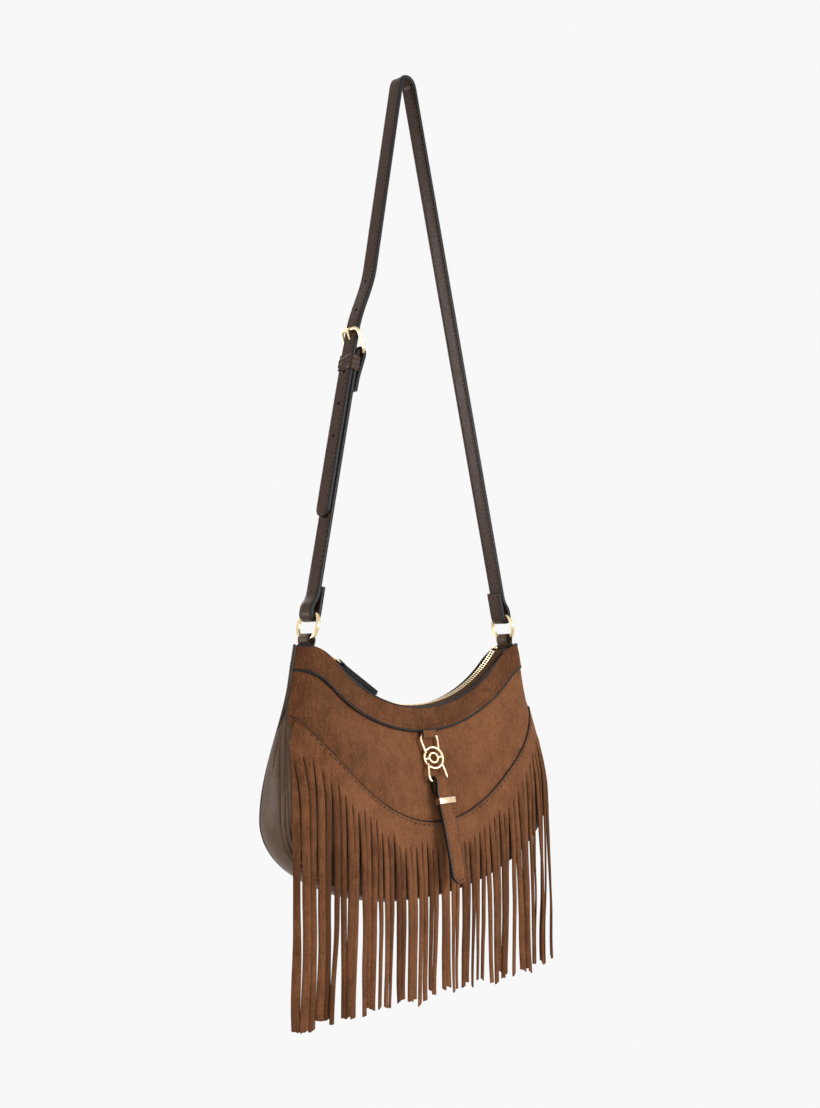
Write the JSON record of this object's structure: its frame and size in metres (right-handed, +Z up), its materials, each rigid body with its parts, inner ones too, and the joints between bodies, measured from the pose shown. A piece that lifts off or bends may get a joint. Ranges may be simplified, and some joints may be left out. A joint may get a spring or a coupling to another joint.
{
  "type": "fringed crossbody bag",
  "caption": "Small suede crossbody bag with a long front fringe, zipped round neckline, hanging metal ornament and a buckled shoulder strap on two rings.",
  "frame": {"origin": "underside of the strap's crown, where a hook or a shoulder carries the bag", "axes": "+Z up along the hanging bag, +X across it towards the ring without the buckle, -Y out of the fringed front"},
  "size_m": [0.3, 0.0794, 0.7761],
  "materials": {
    "suede": "matte napped",
    "body_leather": "smooth satin",
    "strap_leather": "smooth, fairly glossy, painted edges",
    "lining_cloth": "woven",
    "zip_tape": "woven",
    "gold": "polished pale gold plate"
  },
  "bodies": {
    "strap": {"strap_long": "strap_leather", "strap_short": "strap_leather", "buckle_frame": "gold", "buckle_prong": "gold", "strap_keeper": "strap_leather"},
    "left_ring": {"left_ring": "gold"},
    "right_ring": {"right_ring": "gold"},
    "bag": {"front_panel": "body_leather", "back_panel": "body_leather", "saddle_panel": "suede", "front_yoke": "suede", "gusset": "body_leather", "fringe": "suede", "lining": "lining_cloth", "front_zip_tape": "zip_tape", "back_zip_tape": "zip_tape", "front_zip_teeth": "gold", "back_zip_teeth": "gold", "left_zip_stop": "gold", "right_zip_stop": "gold", "left_ring_tab": "strap_leather", "right_ring_tab": "strap_leather", "ornament_loop": "suede"},
    "slider": {"zip_slider": "gold"},
    "pull": {"zip_pull_link": "gold", "zip_pull": "strap_leather"},
    "link": {"ornament_link": "gold"},
    "tongue": {"tongue": "suede", "tongue_keeper": "suede", "tongue_plate": "gold"}
  },
  "joints": [
    {"name": "bag_swing", "type": "hinge", "parent": "strap", "child": "bag", "pos_m": [0, 0, -0.476], "axis": [1, 0, 0], "range_deg": [-25, 25]},
    {"name": "left_ring_turn", "type": "hinge", "parent": "strap", "child": "left_ring", "pos_m": [-0.115, 0, -0.476], "axis": [0.9751, 0, -0.222], "continuous": true},
    {"name": "right_ring_turn", "type": "hinge", "parent": "strap", "child": "right_ring", "pos_m": [0.115, 0, -0.476], "axis": [0.9751, 0, 0.222], "continuous": true},
    {"name": "zip_slide", "type": "hinge", "parent": "bag", "child": "slider", "pos_m": [0, 0, -0.4061], "axis": [0, -1, 0], "range_deg": [0, 74]},
    {"name": "pull_flip", "type": "hinge", "parent": "slider", "child": "pull", "pos_m": [-0.08989, 0, -0.50249], "axis": [0, -1, 0], "range_deg": [0, 110]},
    {"name": "link_swing", "type": "hinge", "parent": "bag", "child": "link", "pos_m": [0, -0.01582, -0.5666], "axis": [-1, 0, 0], "range_deg": [0, 80]},
    {"name": "tongue_swing", "type": "hinge", "parent": "link", "child": "tongue", "pos_m": [0, -0.02775, -0.60331], "axis": [-1, 0, 0], "range_deg": [0, 75]}
  ]
}
